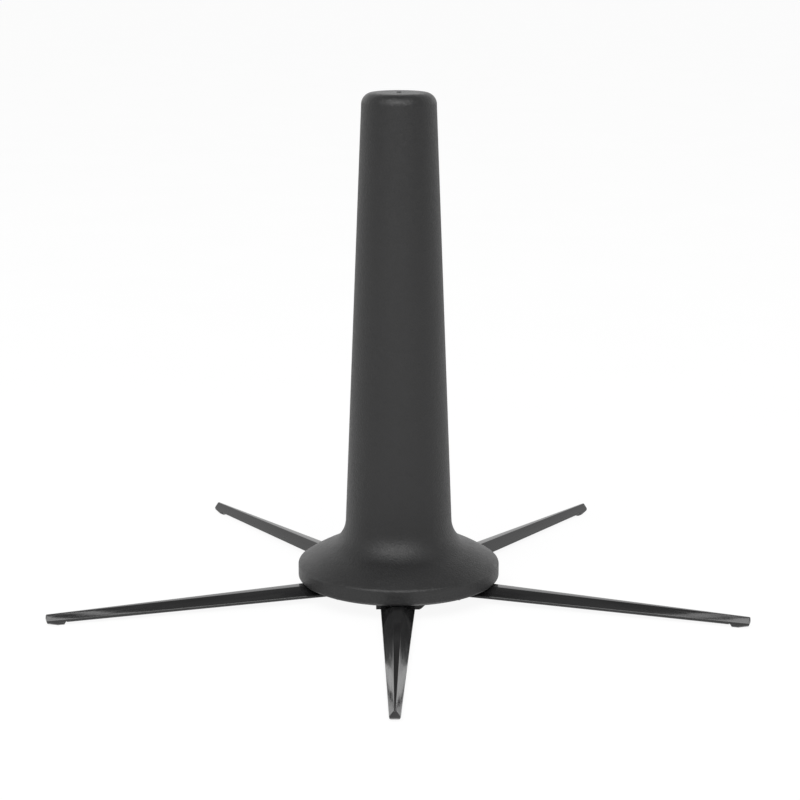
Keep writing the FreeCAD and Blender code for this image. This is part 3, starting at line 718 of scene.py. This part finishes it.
def build_world():
    """Light from all round: brightest at the back, dimmest overhead."""
    world = bpy.data.worlds.new("studio")
    bpy.context.scene.world = world
    g = ShaderTree(world)
    incoming = g.add("NewGeometry").outputs["Incoming"]
    axes = g.add("SeparateXYZ", {0: incoming}).outputs
    # Incoming points back to the viewer, so a ray towards +Y has y = -1 here
    back = g.remap(axes["Y"], span=(0.25, -0.55))
    up = g.remap(axes["Z"], span=(-0.25, -0.87))
    wall = g.times(back, g.minus(1.0, up))
    sky = g.minus(WORLD_FRONT, g.times(up, WORLD_FRONT - WORLD_TOP))
    level = g.plus(sky, g.times(wall, WORLD_BACK - WORLD_FRONT))
    # the camera itself sees plain white
    lit, seen = (g.add("Background", {"Color": WHITE, "Strength": strength}).outputs[0]
                 for strength in (level, 1.0))
    to_camera = g.add("LightPath").outputs["Is Camera Ray"]
    g.add("OutputWorld", {"Surface": g.mix_shader(to_camera, lit, seen)})


def panel(name, azimuth, elevation, distance, width, height, power):
    """A softbox aimed at the stand; azimuth 0 is the front, positive to the right."""
    a, e = math.radians(azimuth), math.radians(elevation)
    outward = Vector((math.sin(a) * math.cos(e), -math.cos(a) * math.cos(e), math.sin(e)))
    light = bpy.data.lights.new(name, "AREA")
    light.shape = "RECTANGLE"
    light.size, light.size_y = width, height
    light.energy = power
    ob = bpy.data.objects.new(name, light)
    bpy.context.scene.collection.objects.link(ob)
    aim = Vector((0, 0, 0.07))
    ob.location = aim + outward * distance
    ob.rotation_euler = (-outward).to_track_quat("-Z", "Y").to_euler()
    return ob


def build_under_fill(floor):
    """A weak softbox under the floor, which doesn't block it: it lights the hub's base."""
    fill = panel("under_fill", azimuth=15.0, elevation=-76.0, distance=1.2,
                 width=1.1, height=1.1, power=9.0)
    fill.visible_camera = False
    blockers = bpy.data.collections.new("under_fill_blockers")
    blockers.objects.link(floor)
    blockers.collection_objects[0].light_linking.link_state = "EXCLUDE"
    fill.light_linking.blocker_collection = blockers


stage_floor = build_floor()
build_world()
panel("key_front", azimuth=-8.0, elevation=46.0, distance=1.6,
      width=1.9, height=0.83, power=19.0)
panel("side_left", azimuth=-39.0, elevation=64.5, distance=1.6,
      width=0.42, height=0.34, power=1.2)
panel("side_right", azimuth=39.0, elevation=64.5, distance=1.6,
      width=0.42, height=0.34, power=1.5)
build_under_fill(stage_floor)


# ---------------------------------------------------------------------- camera
CAMERA_PLACE = (0.0, -0.6612185, 0.2179815)
PITCH_DOWN, ROLL, YAW = 0.2277886, 0.000886336, 0.000607174  # radians
CAMERA_ORBIT = 0.4995  # degrees about Z, turning the placed camera round the peg


def build_camera():
    camera = bpy.data.cameras.new("camera")
    camera.sensor_width = 36.0
    camera.lens = 94.26555
    camera.clip_start = 0.01
    camera.clip_end = 50.0
    ob = bpy.data.objects.new("camera", camera)
    bpy.context.scene.collection.objects.link(ob)
    forward = Vector((math.sin(YAW) * math.cos(PITCH_DOWN),
                      math.cos(YAW) * math.cos(PITCH_DOWN), -math.sin(PITCH_DOWN)))
    level_right = Vector((math.cos(YAW), -math.sin(YAW), 0.0))
    level_up = level_right.cross(forward)
    right = level_right * math.cos(ROLL) + level_up * math.sin(ROLL)
    up = level_up * math.cos(ROLL) - level_right * math.sin(ROLL)
    rows = [(r, u, -f, place) for r, u, f, place in zip(right, up, forward, CAMERA_PLACE)]
    ob.matrix_world = (Matrix.Rotation(math.radians(CAMERA_ORBIT), 4, "Z")
                       @ Matrix(rows + [(0, 0, 0, 1)]))
    bpy.context.scene.camera = ob


build_camera()
bpy.context.scene.view_settings.view_transform = "Standard"
bpy.context.scene.view_settings.look = "None"
